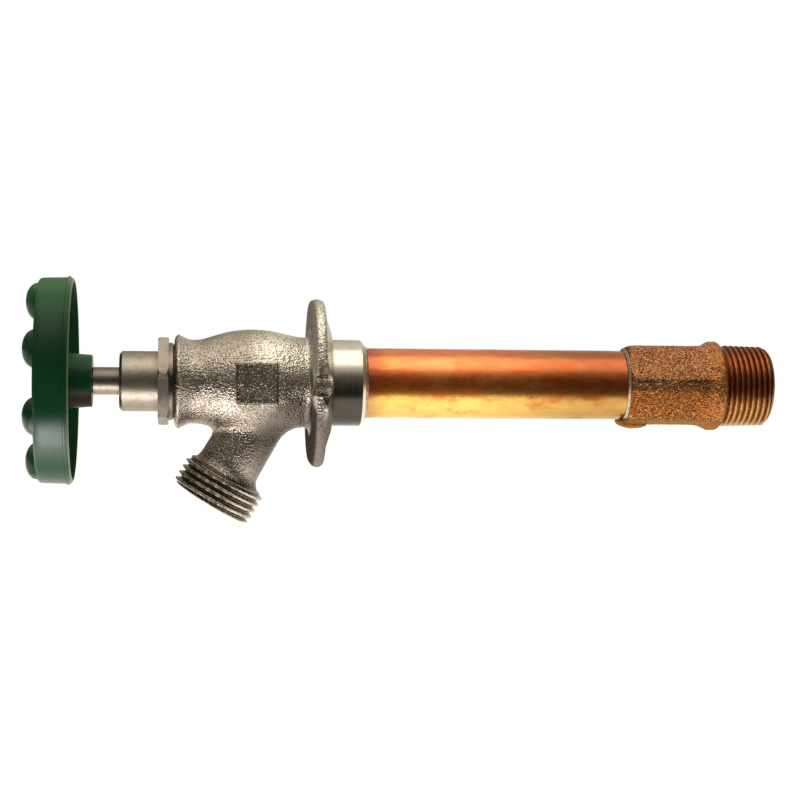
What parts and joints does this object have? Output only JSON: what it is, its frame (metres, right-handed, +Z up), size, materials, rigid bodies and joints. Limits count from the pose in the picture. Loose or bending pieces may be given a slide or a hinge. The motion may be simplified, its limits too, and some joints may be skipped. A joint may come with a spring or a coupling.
{
  "type": "hose bib",
  "caption": "Frost-free hose bib with a round handwheel, angled hose outlet, rounded wall flange, long copper barrel and threaded inlet.",
  "frame": {"origin": "on the tube's axis in the plane of the flange's back face, where it meets the wall", "axes": "+X along the tube toward the pipe inside the wall, +Z up, the handwheel faces -X and the spout points down and forward"},
  "size_m": [0.2367, 0.0654, 0.0774],
  "materials": {
    "valve_body": "rough sand-cast brass with a dull nickel plate",
    "bonnet": "turned brass with a satin nickel plate",
    "bonnet_gasket": "black fibre",
    "stem_o_rings": "smooth",
    "copper_tube": "drawn copper with heat tints",
    "front_solder_ring": "dull solder",
    "rear_solder_ring": "dull solder",
    "inlet_adapter": "cast bronze",
    "handwheel": "gloss dark green enamel",
    "stem_spindle": "satin nickel plate",
    "operating_rod": "drawn",
    "rod_pin": "satin",
    "thrust_washer": "smooth",
    "handle_washer": "zinc plate",
    "handle_screw": "zinc plate",
    "stem_guide": "moulded",
    "swivel_clip": "spring steel",
    "disc_holder": "machined",
    "seat_washer": "smooth",
    "retainer_washer": "stainless",
    "washer_screw": "machined"
  },
  "bodies": {
    "housing": {"valve_body": "valve_body", "bonnet": "bonnet", "bonnet_gasket": "bonnet_gasket", "stem_o_rings": "stem_o_rings", "copper_tube": "copper_tube", "front_solder_ring": "front_solder_ring", "rear_solder_ring": "rear_solder_ring", "inlet_adapter": "inlet_adapter"},
    "valve_head": {"disc_holder": "disc_holder", "seat_washer": "seat_washer", "retainer_washer": "retainer_washer", "washer_screw": "washer_screw"},
    "stem": {"stem_spindle": "stem_spindle", "operating_rod": "operating_rod", "rod_pin": "rod_pin", "handwheel": "handwheel", "handle_screw": "handle_screw", "handle_washer": "handle_washer", "thrust_washer": "thrust_washer", "stem_guide": "stem_guide", "swivel_clip": "swivel_clip"}
  },
  "joints": [
    {"name": "stem_travel", "type": "slide", "parent": "housing", "child": "valve_head", "axis": [-1, 0, 0], "range_m": [0, 0.0074]},
    {"name": "wheel_turn", "type": "hinge", "parent": "valve_head", "child": "stem", "pos_m": [0, 0, 0], "axis": [-1, 0, 0], "range_deg": [0, 1035]}
  ],
  "couplings": [
    {"joint": "stem_travel", "follows": "wheel_turn", "m_per_rad": 0.00040425}
  ]
}
